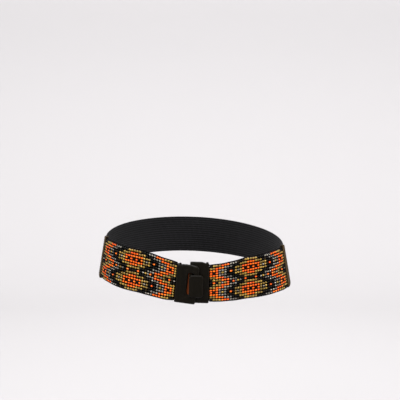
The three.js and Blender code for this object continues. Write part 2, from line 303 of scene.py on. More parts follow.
def add_node(tree, kind, settings=None, stops=(), **inputs):
    """Adds a node, its kind named without ShaderNode. stops are a colour ramp's positions and colours.

    An input is a value, a colour such as "#302010", an output, or a node, which stands for its first output.
    """
    node = tree.nodes.new("ShaderNode" + kind)
    for name, value in (settings or {}).items():
        setattr(node, name, value)
    bands = node.color_ramp.elements if stops else []
    while len(bands) < len(stops):
        bands.new(0.5)
    for band, (position, colour) in zip(bands, stops):
        band.position, band.color = position, linear(colour)
    for name, value in inputs.items():
        socket = node.inputs[int(name[1:])] if name[1:].isdigit() else node.inputs[name.replace("_", " ")]
        if isinstance(value, bpy.types.Node):
            value = value.outputs[0]
        if isinstance(value, bpy.types.NodeSocket):
            tree.links.new(value, socket)
        else:
            socket.default_value = linear(value) if isinstance(value, str) else value
    return node


# %% Start and finish a material


def new_material(name):
    material = bpy.data.materials.new(name)
    material.use_nodes = True
    material.node_tree.nodes.clear()
    return material, material.node_tree


def finish_material(material, height=None, depth=0.1, **surface):
    """Adds the shader that every material ends in. height is a pattern that stands proud by depth mm."""
    tree = material.node_tree
    if height is not None:
        surface["Normal"] = add_node(tree, "Bump", Height=height, Distance=depth * MM, Strength=1.0)
    shader = add_node(tree, "BsdfPrincipled", **surface)
    add_node(tree, "OutputMaterial", Surface=shader)
    print("material:", material.name)
    return material


def object_mm(tree, scale=(1, 1, 1)):
    """Coordinates of the object in millimetres, each direction multiplied by its scale."""
    place = add_node(tree, "TexCoord")
    scale = [each / MM for each in scale]
    return add_node(tree, "VectorMath", {"operation": "MULTIPLY"}, _0=place.outputs["Object"], _1=scale)


# %% [markdown]
# ## Glass seed beads
#
# Seed beads are cut from drawn glass tube and tumbled hot until their edges are round. That gives each
# bead a small bright highlight and a slightly uneven surface. There are four kinds here:
#
# - opaque orange glass, whose colour runs from tomato to a light orange;
# - olive glass with a gold lining, which is brown in its shade and pale gold where it shines;
# - clear grey glass with a silver lining, nearly white where it shines;
# - jet, an opaque black glass; a few of its beads are painted a lighter brown, a painted highlight that
#   stands for their glints.
#
# A lined bead sends light back from inside. Real glass with a metal core would need many light paths for
# something 2.5 pixels wide, so the lining is given as part metal under a clear coat. Each bead carries
# a tone of its own, from 0 to 1, that picks its shade, as beads from one bag differ.
#
# Towards its top, its bottom and its ends, where it meets its neighbours, a bead is painted much deeper in
# colour. That is painted shade, where touching beads shade each other; in the lined beads it is partly real
# too, as their lining shows only through the middle. Each point of a bead carries how far it is turned to the
# edge, as an attribute. It is worked out from the bead's own shape, so the dark rims stay where they are from
# any side.

# %% The four kinds of glass
UNEVEN, UNEVEN_DEPTH = 1.3, 0.05  # mm from one dent to the next, and how deep


def tumbled_glass(name, shades, rim_shade, rim_shade_start, rim_shade_full, coat, **surface):
    """shades run from a bag's darkest bead to its lightest. The rim colour is painted shade at the bead's
    edges.
    """
    material, tree = new_material(name)
    tone = add_node(tree, "Attribute", {"attribute_name": "tone"})
    turned = add_node(tree, "Attribute", {"attribute_name": "rim_shade"})
    # Painted shade: towards its edges, where it meets its neighbours, the bead turns to the rim colour.
    edge = add_node(
        tree, "MapRange", {"interpolation_type": "SMOOTHSTEP"},
        Value=turned.outputs["Fac"], From_Min=rim_shade_start, From_Max=rim_shade_full,
    )
    middle = add_node(tree, "ValToRGB", stops=shades, Fac=tone.outputs["Fac"])
    shade = add_node(tree, "Mix", {"data_type": "RGBA"}, _0=edge, _6=middle, _7=rim_shade)
    uneven = add_node(tree, "TexNoise", Vector=object_mm(tree), Scale=1 / UNEVEN, Detail=1.0, Roughness=0.5)
    return finish_material(
        material, uneven, UNEVEN_DEPTH,
        Base_Color=shade.outputs[2], IOR=1.52, Coat_Weight=coat, Coat_Roughness=0.08, **surface,
    )


orange_glass = tumbled_glass(
    "opaque_orange_glass", [(0, "#EE560A"), (0.5, "#F6680C"), (1, "#FE801E")], "#480400",
    rim_shade_start=0.05, rim_shade_full=0.36, coat=0.05, Roughness=0.35, Specular_IOR_Level=0.14,
)
olive_glass = tumbled_glass(
    "gold_lined_olive_glass", [(0, "#745A0E"), (0.5, "#90721C"), (1, "#B08C34")], "#2C1A02",
    rim_shade_start=0.1, rim_shade_full=0.42, coat=0.1, Roughness=0.3, Metallic=0.35,
)
grey_glass = tumbled_glass(
    "silver_lined_grey_glass", [(0, "#645C52"), (0.5, "#847C6E"), (1, "#AAA292")], "#050403",
    rim_shade_start=0.02, rim_shade_full=0.22, coat=0.15, Roughness=0.24, Metallic=0.35,
)
# The brown end of the jet's shades is a painted highlight: a few beads are painted as if they glinted.
jet_glass = tumbled_glass(
    "jet_glass", [(0, "#020302"), (0.5, "#050604"), (0.8, "#0E0A06"), (1, "#281E0E")], "#010101",
    rim_shade_start=0.15, rim_shade_full=0.55, coat=0.0, Roughness=0.25, Specular_IOR_Level=0.07,
)
GLASS = {"O": orange_glass, "G": olive_glass, "K": jet_glass, "S": grey_glass}

# %% [markdown]
# ## The bead pattern
#
# Fifteen strands lie side by side. Their beads make rows of diamonds inside diamonds, a common pattern in
# bead weaving: bands of orange, olive, black and grey, each three beads wide, step outwards from the middle
# of the panel. From row to row a band may start two columns sooner or later, and that makes the points of
# the diamonds. In the fourth, eighth and twelfth row each band has one bead of another colour in its middle.
#
# A short rule gives every bead its colour, so there is no chart to copy.

# %% Give each bead its colour
ROWS = 15
BAND_SHIFTS = [4, 2, 0, 0, 0, 2, 4, 6, 4, 2, 0, 0, 0, 2, 4]  # rows from the top
BAND_COLOURS = "OGKS"
BAND_WIDTH = 3
ACCENT_ROWS = (3, 7, 11)
ACCENTS = {"O": "K", "G": "S", "K": "O", "S": "G"}


def bead_colour(row, column):
    """column counts from the middle of the panel's pattern."""
    place = abs(column) + BAND_SHIFTS[row] - 1
    colour = BAND_COLOURS[(place // BAND_WIDTH) % len(BAND_COLOURS)] if place >= 0 else "O"
    if row in ACCENT_ROWS:
        if column == 0:
            return "K"
        if place % BAND_WIDTH == 1:
            return ACCENTS[colour]
    return colour


for row in range(ROWS):
    print("".join(bead_colour(row, column) for column in range(-16, 17)))

# %% [markdown]
# ## The bead panels
#
# The rows lie close at the buckle, where the strands are gathered on a pin, and spread towards the hip.
# Between the two, a strand wanders by a fraction of a millimetre, and the beads sit a little askew on it.
#
# One bead could be made once and placed 975 times as an instance. Here every bead is its own skin in one
# mesh, because each has its own length, tilt and tone, and a panel stays one piece. The edge of a
# bead is a rounded loop, turned round the hole.

# %% Measure the panels
BEAD = 3.9
BEAD_HOLE = 1.1
PANEL_END = 165.6
# start is where the beads begin along the belt, and lean how far each mm of height moves that towards the
# buckle. first and step number the pattern's columns. pitch is from row to row, and middle the height of the
# middle row, each at shares of the panel's length. slack is how far a column lies from an even spacing, away
# from the buckle. raised is how high the leather strip at the panel's end is sewn.
PANELS = {
    "left": {
        "side": -1, "columns": 33, "start": 26.3, "lean": 0.05, "first": 16, "step": -1, "raised": -0.7,
        "pitch": [(0, 4.06), (0.1, 4.28), (0.35, 4.5), (0.55, 4.5), (1, 4.3)],
        "middle": [(0, -0.6), (0.1, 0), (0.3, 1), (0.4, 0.6), (0.6, -0.7), (1, -1.3)],
        "slack": [
            (0, 0), (3, -0.6), (8, 1.1), (14, 0.5), (21, 1.9), (24, 1.4), (28, -0.3), (31, -0.6), (33, 0),
        ],
    },
    "right": {
        "side": 1, "columns": 32, "start": 28.3, "lean": 0.03, "first": -15, "step": 1, "raised": 1.4,
        "pitch": [(0, 3.85), (0.1, 3.93), (0.3, 4.2), (0.4, 4.36), (0.6, 4.45), (1, 4.45)],
        "middle": [(0, -1), (0.3, -1.2), (0.42, -0.5), (0.6, -0.5), (0.8, -0.1), (1, -0.1)],
        "slack": [
            (0, 0), (4, 1.3), (8, 1.9), (13, -0.4), (18, -0.8), (22, -1.4), (26, -1.1), (29, 0), (32, 0),
        ],
    },
}
WANDER = [(0.22, 11, 0.9), (0.12, 4.3, 2.3)]  # a strand's waves: height, length and lag from row to row


def follow(knots, place):
    """The value at a place, on straight lines between knots of place and value."""
    for (start, low), (end, high) in pairwise(knots):
        if place <= end:
            break
    return low + (high - low) * (place - start) / (end - start)


def share_of(along, panel):
    return min(max((along - panel["start"]) / (PANEL_END - panel["start"]), 0), 1)


def row_pitch(along, panel):
    return follow(panel["pitch"], share_of(along, panel))


def row_height(row, along, panel):
    """Where a row's strand runs on the band, with its slight wander."""
    middle = follow(panel["middle"], share_of(along, panel))
    wander = sum(high * math.sin(along / length + row * lag) for high, length, lag in WANDER)
    return middle + ((ROWS - 1) / 2 - row) * row_pitch(along, panel) + wander


def row_depth(row, along, panel):
    """Where the rows are too close for their beads, every other row lies a little behind."""
    apart = math.sqrt(max(0, BEAD**2 - row_pitch(along, panel) ** 2))
    return apart / 2 if row % 2 else -apart / 2


def column_distance(column, row, panel):
    """The distance along the belt to the near edge of a column, in a row."""
    height = ((ROWS - 1) / 2 - row) * row_pitch(panel["start"], panel)
    start = panel["start"] - panel["lean"] * height
    return start + column / panel["columns"] * (PANEL_END - start) + follow(panel["slack"], column)


print("row heights at the hip:", [round(row_height(row, 165, PANELS["left"]), 1) for row in (0, 7, 14)])

# %% Turn one bead round its hole
PROFILE_STEPS, TURN_STEPS = 7, 14
SQUARENESS = 2.9  # 2 is a round edge, more is flatter
HOLE_WALL = [(-0.3, 0.85), (0.3, 0.85)]  # shares of the bead's length and of the hole's radius


def bead_profile(length, width):
    """The turned loop: distance along the hole, distance from its middle, and how squarely it faces away."""
    hole = BEAD_HOLE / 2
    loop = []
    for step in range(PROFILE_STEPS + 1):
        angle = math.pi * step / PROFILE_STEPS
        along, away = (
            math.copysign(abs(each) ** (2 / SQUARENESS), each)
            for each in (math.cos(angle), math.sin(angle))
        )
        half, rise = length / 2, width / 2 - hole
        slope = Vector((abs(along) ** (SQUARENESS - 1) / half, abs(away) ** (SQUARENESS - 1) / rise))
        loop.append((along * half, hole + rise * away, slope.normalized().y))
    return [*loop, *[(along * length, away * hole, 0) for along, away in HOLE_WALL]]


def add_bead(shape, middle, axes, length, width, material, tone):
    """The rim shade is 0 where the bead faces straight out of the band, or into it, and 1 where it is edge
    on, towards its neighbours: how far painted shade darkens it.
    """
    along, up, out = axes
    profile = bead_profile(length, width)
    rings = []
    for turn in range(TURN_STEPS):
        angle = 2 * math.pi * turn / TURN_STEPS
        outward = up * math.sin(angle) + out * math.cos(angle)
        rings.append([middle + along * x + outward * r for x, r, _ in profile])
        # How far painted shade darkens each point, towards the bead's neighbours.
        shape["rim_shade"].extend(1 - facing * abs(math.cos(angle)) for _, _, facing in profile)
    add_rings(shape, rings, material, tone, closed=True)


print("points of one bead:", TURN_STEPS * len(bead_profile(BEAD, BEAD)))

# %% String both panels
SHIFT_ALONG, SHIFT_ACROSS, ASKEW = 0.1, 0.12, 0.035  # mm, mm and radians
BEAD_LENGTHS, BEAD_WIDTHS = (0.93, 0.985), (0.97, 1.0)  # shares of the room along the strand, and of BEAD
SEED = 11


def string_panel(name, panel, chance):
    shape = gather("rim_shade")
    kinds = list(GLASS)
    side, columns = panel["side"], panel["columns"]
    for row in range(ROWS):
        for place in range(columns):
            near, far = (column_distance(place + edge, row, panel) for edge in (0, 1))
            along = (near + far) / 2 + chance.uniform(-SHIFT_ALONG, SHIFT_ALONG)
            height = row_height(row, along, panel) + chance.uniform(-SHIFT_ACROSS, SHIFT_ACROSS)
            axes = band_frame(side * along, height)
            askew = Euler([chance.gauss(0, ASKEW) for _ in range(3)]).to_matrix()
            depth = row_depth(row, along, panel) + chance.uniform(-SHIFT_ACROSS, SHIFT_ACROSS)
            length = (far - near) * chance.uniform(*BEAD_LENGTHS)
            width = BEAD * chance.uniform(*BEAD_WIDTHS)
            colour = bead_colour(row, panel["first"] + panel["step"] * place)
            add_bead(
                shape, band_point(side * along, height, depth), [askew @ axis for axis in axes],
                length, width, kinds.index(colour), chance.random(),
            )
    make_piece(f"beads_{name}", shape, list(GLASS.values()), [f"bead_panel_{name}"], sharp=ROUND)


for number, (name, panel) in enumerate(PANELS.items()):
    string_panel(name, panel, random.Random(SEED + number))

# %% [markdown]
# ## Wood for the buckle
#
# The buckle is sawn from a fine-grained hardwood board, its edges sanded round, then stained nearly black
# and rubbed with a satin lacquer. The grain only just shows, as slightly browner lines along the board, and
# the round edges catch the light. Inside the slot the stain did not reach, so the tongue there keeps the
# orange-brown of the bare wood.
#
# Wood grain is noise that is stretched along the board: fine pores about 0.35 mm wide and some 15 mm long,
# over broader streaks of growth.

# %% Dark stained wood and bare wood
PORE, PORE_LENGTH = 0.35, 15
STREAK, STREAK_LENGTH = 4, 60


def hardwood(name, shades, depth, **surface):
    """Wood whose grain runs up and down. shades go from the pores to the lightest lines."""
    material, tree = new_material(name)
    fine = object_mm(tree, (1 / PORE, 1 / PORE, 1 / PORE_LENGTH))
    pores = add_node(tree, "TexNoise", Vector=fine, Scale=0.5, Detail=3.0, Distortion=0.4)
    broad = object_mm(tree, (1 / STREAK, 1 / STREAK, 1 / STREAK_LENGTH))
    streaks = add_node(tree, "TexNoise", Vector=broad, Scale=1.0, Detail=2.0)
    grain = add_node(tree, "Mix", {"data_type": "FLOAT"}, Factor=0.4, A=pores, B=streaks)
    surface["Base_Color"] = add_node(tree, "ValToRGB", stops=shades, Fac=grain)
    rough = surface["Roughness"]
    surface["Roughness"] = add_node(tree, "MapRange", Value=pores, To_Min=rough + 0.1, To_Max=rough - 0.06)
    return finish_material(material, grain, depth, **surface)


stained_wood = hardwood(
    "black_stained_hardwood", [(0.3, "#080603"), (0.55, "#0D0A05"), (0.75, "#141009")], 0.04,
    Roughness=0.34, Specular_IOR_Level=0.08,
)
bare_wood = hardwood(
    "bare_hardwood", [(0.3, "#58260A"), (0.55, "#7C3810"), (0.75, "#984E1C")], 0.06,
    Roughness=0.6, Specular_IOR_Level=0.15,
)

# %% [markdown]
# ## The buckle's boards
#
# The buckle has two halves. The ring is a board with a slot, and it hangs in front at a slight angle. The
# hook is a board with a notch, a tongue that lies behind the ring, a neck that stands up
# through the slot and a raised tab in front.
#
# A cube with a bevel would give the boards too, but not the slot. Each outline is drawn as a loop
# of points instead, and pulled in step by step towards both faces, so that its edges are evenly round. A
# hole is a loop that runs the other way.

# %% Draw an outline and pull it in


def curve_point(start, control, end, t):
    return start * (1 - t) ** 2 + control * 2 * t * (1 - t) + end * t**2


CROWN_STEPS = 10


def rounded(corners, steps=5, crown=0.0):
    """A loop of points with its corners rounded off. A corner is x, y and how far it is rounded.

    That is less than half an edge. Corners run anticlockwise, or clockwise for a hole. crown is how far the
    edge before the last corner bulges.
    """
    loop = []
    count = len(corners)
    for place, (*corner, size) in enumerate(corners):
        here = Vector(corner)
        before, after = Vector(corners[place - 1][:2]), Vector(corners[(place + 1) % count][:2])
        start, end = (
            here + (other - here).normalized() * min(size, (other - here).length / 2.01)
            for other in (before, after)
        )
        if crown and place == count - 1:
            flat = loop[-1]
            bulge = (flat + start) / 2 + Vector((0, 2 * crown))
            loop += [curve_point(flat, bulge, start, step / CROWN_STEPS) for step in range(1, CROWN_STEPS)]
        loop += [curve_point(start, here, end, step / steps) for step in range(steps + 1)]
    return loop


def pulled_in(loop, by):
    """Every point moves to the left of the loop's way by the same distance."""
    moved = []
    for place, here in enumerate(loop):
        before, after = loop[place - 1], loop[(place + 1) % len(loop)]
        ways = [(here - before).normalized(), (after - here).normalized()]
        left = [Vector((-way.y, way.x)) for way in ways]
        moved.append(here + (left[0] + left[1]) * by / (1 + left[0].dot(left[1])))
    return moved


EDGE_STEPS = 5
HOLE_EDGE = 0.3  # how far a hole is pulled in, as a share of the outline


def round_edge(pull, depth):
    """Pairs of how far the outline is pulled in and how deep that is, from a face to the side."""
    arcs = [math.pi / 2 * step / EDGE_STEPS for step in range(EDGE_STEPS + 1)]
    return [(pull * (1 - math.sin(a)), depth * (1 - math.cos(a))) for a in arcs]


def add_board(shape, loops, thick, front, back, put):
    """A board, its front and back edges rounded by (pull, depth). put(x, y, depth) gives a point in space."""
    levels = round_edge(*front) + [(pull, thick - depth) for pull, depth in reversed(round_edge(*back))]
    starts, drawn = [], []
    for number, loop in enumerate(loops):
        starts.append((len(shape["points"]), len(loop)))
        rings = [pulled_in(loop, pull * (HOLE_EDGE if number else 1)) for pull, _ in levels]
        drawn.append(rings)
        add_rings(
            shape, [[put(*point, depth) for point in ring] for ring, (_, depth) in zip(rings, levels)],
            ends=False,
        )
    for level in (0, len(levels) - 1):
        index = [start + level * count + place for start, count in starts for place in range(count)]
        flat = [[point.to_3d() for point in rings[level]] for rings in drawn]
        faces = [[index[corner] for corner in face] for face in tessellate_polygon(flat)]
        shape["faces"].extend(faces)
        shape["materials"].extend([0] * len(faces))


# %% Cut into a piece with solids that are then thrown away


def block(low, high, frame_of):
    """A box with its corners at low and high, in the coordinates of one half of the buckle."""
    shape = gather()
    (x0, y0, z0), (x1, y1, z1) = low, high
    rings = [[(x0, y, z0), (x1, y, z0), (x1, y, z1), (x0, y, z1)] for y in (y0, y1)]
    add_rings(shape, [[frame_of @ Vector(point) for point in ring] for ring in rings])
    return shape


def combine(piece, operation, *shapes):
    """Cuts shapes out of a piece, or joins them to it, and keeps the result as its mesh."""
    solids = [bpy.data.objects.new("cutter", mesh_of("cutter", shape)) for shape in shapes]
    for solid in solids:
        bpy.context.scene.collection.objects.link(solid)
        step = piece.modifiers.new(operation, "BOOLEAN")
        step.operation, step.solver, step.object = operation, "EXACT", solid
    result = piece.evaluated_get(bpy.context.evaluated_depsgraph_get())
    mesh = bpy.data.meshes.new_from_object(result)
    piece.modifiers.clear()
    piece.data = mesh
    smooth(mesh)
    for solid in solids:
        bpy.data.objects.remove(solid)


# %% [markdown]
# ## The ring and the hook
#
# Both halves have places of their own on the belt: the ring is turned a little and swings in front of
# the hook, because its slot hangs on the neck. In the back of each board is a rebate with an upright pin
# that the strands loop round. The pins' heads stand on the boards' top edges.

# %% Where the two halves hang
BOARD = 4
BOARD_EDGE = (2.4, 1.9), (0.9, 0.9)  # front and back
# A place is to the right, back and up from the middle of the buckle. turn and tilt are in degrees.
RING = {
    "at": (-8.9, -3.45, -2.3), "turn": 2.9, "tilt": 7,
    "left": -17, "right": 17, "top right": 19, "half": 31, "crown": 1.2, "corner": 2.6, "loop corner": 6,
}
SLOT = {"left": 1.6, "right": 11.4, "bottom": -16.5, "top": 18.4, "corner": 1.6, "foot corner": 5}
HOOK = {
    "at": (6, 0, 0), "turn": -1.7, "back": 2.2,
    "left": -9.4, "right": 21.6, "bottom": -32.4, "top": 34.5, "top right": 32.2, "shoulder": (10, 16.5),
    "corner": 2.5, "foot corner": 2.6, "shoulder corner": 2.2,
}
NOTCH = {"depth": 3.5, "top": 21, "bottom": -25, "corner": 0.3}  # in the hook board's left edge
BUCKLE = (
    WORN
    @ Matrix.Translation(flat_point(0.0, 0, 0))
    @ Matrix.Rotation(math.radians(-FLARE["front"]), 4, "X")
)
RING_AT = (
    BUCKLE
    @ Matrix.Translation(RING["at"])
    @ Matrix.Rotation(math.radians(RING["turn"]), 4, "Y")
    @ Matrix.Rotation(math.radians(-RING["tilt"]), 4, "Z")
)
HOOK_AT = BUCKLE @ Matrix.Translation(HOOK["at"]) @ Matrix.Rotation(math.radians(HOOK["turn"]), 4, "Y")
print("ring at", RING_AT.translation, "hook at", HOOK_AT.translation)

# %% The pins and the rebates that they lie in
PIN = {"width": 2.2, "length": 60, "head": 4, "head height": 1.7, "crown": 0.5, "sunk": 0.5}
REBATE = {"depth": 2.9, "height": 56, "width": 7}
PIN_INSET = {"left": 4.4, "right": 3.4}  # from the board's outer edge
# The half that a pin is in, how far to the right it stands, the board's edge over it, and how far back.
PINS = {
    "left": (RING_AT, RING["left"] + PIN_INSET["left"], RING["half"] + RING["crown"] / 2, 0),
    "right": (HOOK_AT, HOOK["right"] - PIN_INSET["right"], HOOK["top right"], HOOK["back"] - BOARD / 2),
}
print("pins at", [round(x, 1) for _, x, _, _ in PINS.values()], "on their boards")


def pin_housing(name, edge):
    """The bore for a board's pin, and the rebate round it in the board's back. Both end outside the board."""
    frame_of, x, top, y = PINS[name]
    outward = math.copysign(1, x)
    back = y + BOARD / 2
    bore = gather()
    ends = (top + GAP - PIN["length"] - PIN["sunk"], top + 2)
    add_tube(bore, [frame_of @ Vector((x, y, z)) for z in ends], PIN["width"] / 2 + GAP, sides=20)
    inner = x + outward * (PIN["width"] / 2 - REBATE["width"])
    low, high = sorted((inner, edge + outward))
    half = REBATE["height"] / 2
    return block((low, back - REBATE["depth"], -half), (high, back + 1, half), frame_of), bore


# %% Saw a board


def saw_board(name, node, loops, thick, edge, frame_of, back):
    """A board of stained wood on a half of the buckle, with its back face at this y."""
    shape = gather()
    add_board(shape, loops, thick, *edge, lambda x, z, depth: frame_of @ Vector((x, back - thick + depth, z)))
    return make_piece(name, shape, [stained_wood], [node])


# %% The ring, with its slot
low, high, corner = -RING["half"], RING["half"], RING["corner"]
ring_outline = rounded([
    (RING["left"], low, corner), (RING["right"], low, corner),
    (RING["top right"], high, RING["loop corner"]), (RING["left"], high, corner),
], crown=RING["crown"])
low, high, corner = SLOT["bottom"], SLOT["top"], SLOT["corner"]
slot_outline = rounded([
    (SLOT["left"], low, SLOT["foot corner"]), (SLOT["left"], high, corner),
    (SLOT["right"], high, corner), (SLOT["right"], low, corner),
])
ring = saw_board(
    "ring_board", "buckle_ring", [ring_outline, slot_outline], BOARD, BOARD_EDGE, RING_AT, BOARD / 2
)
combine(ring, "DIFFERENCE", *pin_housing("left", RING["left"]))

# %% The hook's board, notched for the neck
left, right, corner, notch_wall = HOOK["left"], HOOK["right"], HOOK["corner"], HOOK["left"] + NOTCH["depth"]
shoulder_start, shoulder_end = HOOK["shoulder"]
hook_outline = rounded([
    (left, HOOK["top"], corner), (left, NOTCH["top"], corner),
    (notch_wall, NOTCH["top"], NOTCH["corner"]), (notch_wall, NOTCH["bottom"], NOTCH["corner"]),
    (left, NOTCH["bottom"], corner), (left, HOOK["bottom"], corner),
    (right, HOOK["bottom"], HOOK["foot corner"]), (right, HOOK["top right"], corner),
    (shoulder_end, HOOK["top right"], HOOK["shoulder corner"]), (shoulder_start, HOOK["top"], corner),
])
hook_board = saw_board(
    "hook_board", "buckle_hook_plate", [hook_outline], BOARD, BOARD_EDGE, HOOK_AT, HOOK["back"]
)
combine(hook_board, "DIFFERENCE", *pin_housing("right", right))

# %% The raised tab, with its neck
TAB = {"at": (1.1, -4.1), "half width": 11.5, "half height": 18, "corner": 6, "thick": 3.2, "back": -7.9}
TAB_EDGE = (2.2, 1.9), (0.9, 0.9)
NECK = {"thick": 4, "half height": 15, "into tab": 1}
TONGUE = {"length": 11.8, "thick": 2.8, "edge": 0.3}
neck_right, tongue_front = notch_wall - GAP, HOOK["back"] - TONGUE["thick"]
left, right = (TAB["at"][0] + way * TAB["half width"] for way in (-1, 1))
low, high = (TAB["at"][1] + way * TAB["half height"] for way in (-1, 1))
tab_outline = rounded(
    [(x, z, TAB["corner"]) for x, z in ((left, low), (right, low), (right, high), (left, high))], steps=8
)
tab = saw_board("tab_board", "hook_tab", [tab_outline], TAB["thick"], TAB_EDGE, HOOK_AT, TAB["back"])
combine(tab, "UNION", block(
    (neck_right - NECK["thick"], TAB["back"] - NECK["into tab"], -NECK["half height"]),
    (neck_right, tongue_front - GAP, NECK["half height"]), HOOK_AT,
))

# %% The tongue behind the ring
tongue_shape = block(
    (neck_right - TONGUE["length"], tongue_front, NOTCH["bottom"] + GAP),
    (notch_wall, HOOK["back"], NOTCH["top"] - GAP), HOOK_AT,
)
tongue = make_piece("tongue", tongue_shape, [bare_wood], ["hook_tongue"])
soft_edge = tongue.modifiers.new("sanded edges", "BEVEL")
soft_edge.width, soft_edge.segments, soft_edge.limit_method = TONGUE["edge"] * MM, 2, "ANGLE"

# %% The pins, each with a round head that hangs it from the board's top edge
for name, (frame_of, x, top, y) in PINS.items():
    shape = gather()
    low = top + GAP
    rod = [frame_of @ Vector((x, y, low + PIN["sunk"] - length)) for length in (PIN["length"], 0)]
    add_tube(shape, rod, PIN["width"] / 2, sides=20)
    head = [frame_of @ Vector((x, y, z)) for z in (low, low + PIN["head height"] - PIN["crown"])]
    add_tube(shape, head, PIN["head"] / 2, sides=28, dome=PIN["crown"])
    make_piece(f"pin_{name}", shape, [stained_wood], [f"strand_pin_{name}"], sharp=ROUND)

# %% [markdown]
# ## The elastic strands
#
# What holds the beads is round elastic cord. A brown one, about 0.8 mm thick, runs through every row. It
# shows only as a short bare length between the beads and the buckle, and at the pins behind it. Each cord
# runs out along one row, loops round the pin and comes back along the next, so that the fifteen rows need
# eight cords. A flat black strip lies behind the groove between every two rows and closes the band. It is
# painted shade: a dark sheet that makes the lines between the rows dark. A round black cord runs along each
# edge. The braid of fine threads round a cord is too small to show, so a little noise stands for it.

# %% Elastic cord
CORD = 0.8
# depth is how far out a cord lies, and tuck how far it runs on behind the buckle. apart is the slit between
# two flat strips of painted shade, outside how far the outermost ones reach beyond their row, and from how
# far beyond it the round one lies.
SHADE_BACKING = {"thick": 0.5, "depth": -1.9, "tuck": 5, "apart": 0.1, "outside": 2.8}
EDGE_CORD = {"width": 1.5, "depth": -0.5, "tuck": 4.5, "from": 2.65}
EDGE_BENDS = [(0.5, 0.2), (-0.2, 1.2)]  # how far before the buckle it bends, and how far in
PIN_REACH = 27  # how far up and down a pin the strands loop round it
INTO_FOLD = 3  # how far the strands run on past the last bead, to the rod


def even_finish(name, dark, light, grain, depth, detail=3.0, **surface):
    """A material whose shade and surface vary only by noise, grain mm wide."""
    material, tree = new_material(name)
    noise = add_node(tree, "TexNoise", Vector=object_mm(tree), Scale=1 / grain, Detail=detail)
    shade = add_node(tree, "ValToRGB", stops=[(0.3, dark), (0.7, light)], Fac=noise)
    return finish_material(material, noise, depth, Base_Color=shade, **surface)


DULL = {"Roughness": 0.8, "Specular_IOR_Level": 0.03}
elastic_cord = even_finish("brown_elastic_cord", "#1E120A", "#3A2416", 0.5, 0.1, 2.0, **DULL)
# Also used for the flat strips behind the rows, which are painted shade: a dark sheet where the shade between
# rows falls.
black_cord_and_shade_backing = even_finish("black_elastic_cord_and_shade_backing", "#030202", "#080706", 0.5, 0.1, 2.0, **DULL)

# %% Find a strand's way


def strand_stations(row, panel):
    """From the rod at the hip to the buckle, along a row: distance and height."""
    columns = range(panel["columns"], -1, -1)
    distances = [PANEL_END + INTO_FOLD, *[column_distance(column, row, panel) for column in columns]]
    return [(distance, row_height(row, min(distance, PANEL_END), panel)) for distance in distances]


def strand_path(row, panel):
    return [
        band_point(panel["side"] * distance, height, row_depth(row, min(distance, PANEL_END), panel))
        for distance, height in strand_stations(row, panel)
    ]


# %% Close the band with painted shade behind the rows, and with a cord along its edges


def add_shade_backing(shape, row, panel):
    """The flat black strip of painted shade behind the groove between a row and the next one, or outside the
    first or last row.
    """
    high, low = strand_stations(max(row, 0), panel), strand_stations(min(row + 1, ROWS - 1), panel)
    above = SHADE_BACKING["outside"] if row < 0 else -SHADE_BACKING["apart"] / 2
    below = -SHADE_BACKING["outside"] if row == ROWS - 1 else SHADE_BACKING["apart"] / 2
    rings = []
    outer, inner = SHADE_BACKING["depth"] + SHADE_BACKING["thick"] / 2, SHADE_BACKING["depth"] - SHADE_BACKING["thick"] / 2
    for (distance, upper), (_, lower) in zip(high, low):
        top, foot = upper + above, lower + below
        corners = [(top, outer), (top, inner), (foot, inner), (foot, outer)]
        rings.append([band_point(panel["side"] * distance, *corner) for corner in corners])
        if distance == high[-1][0] and 0 <= row < ROWS - 1:
            tucked = panel["side"] * (distance - SHADE_BACKING["tuck"])
            rings.append([band_point(tucked, *corner) for corner in corners])
    add_rings(shape, rings, material=1)


def add_edge_cord(shape, row, panel):
    """The round cord along the band's edge, outside the first or the last row. It ends behind the board."""
    outward = 1 if row == 0 else -1
    stations = [(at, height + outward * EDGE_CORD["from"]) for at, height in strand_stations(row, panel)]
    distance, height = stations.pop()
    stations += [(distance + before, height - outward * inward) for before, inward in EDGE_BENDS]
    stations.append((distance - EDGE_CORD["tuck"], outward * PIN_REACH))
    path = [band_point(panel["side"] * at, height, EDGE_CORD["depth"]) for at, height in stations]
    add_tube(shape, path, EDGE_CORD["width"] / 2, sides=8, material=1)


# %% Loop the strands round the pins
# How far inward and how far back each point of the loop is, in the pin's and the cord's radius together.
PIN_LOOP = [(-0.6, 0.9), (0.35, 1.0), (1.0, 0.35), (1.0, -0.35), (0.35, -0.9), (-0.6, -0.8)]


def loop_round_pin(name, heights):
    """The cord's way round a pin, from one row's height to the next one's."""
    frame_of, x, _, y = PINS[name]
    inward = -math.copysign(1, x)
    reach = PIN["width"] / 2 + CORD / 2
    points = []
    for step, (across, back) in enumerate(PIN_LOOP):
        height = heights[0] + (heights[1] - heights[0]) * step / (len(PIN_LOOP) - 1)
        points.append(frame_of @ Vector((x + inward * across * reach, y + back * reach, height)))
    return points


for name, panel in PANELS.items():
    shape = gather()
    to_pin = PINS[name][0].inverted()
    for row in range(0, ROWS, 2):
        way = strand_path(row, panel)
        back = strand_path(min(row + 1, ROWS - 1), panel)
        heights = [(to_pin @ path[-1]).z for path in (way, back)]
        loop = loop_round_pin(name, [max(min(each, PIN_REACH), -PIN_REACH) for each in heights])
        add_tube(shape, way + loop + (back[::-1] if row + 1 < ROWS else []), CORD / 2, sides=6)
    # Flat black strips of painted shade close the band behind and outside the rows.
    for row in range(-1, ROWS):
        add_shade_backing(shape, row, panel)
    for row in (0, ROWS - 1):
        add_edge_cord(shape, row, panel)
    make_piece(f"strands_and_shade_backing_{name}", shape, [elastic_cord, black_cord_and_shade_backing])
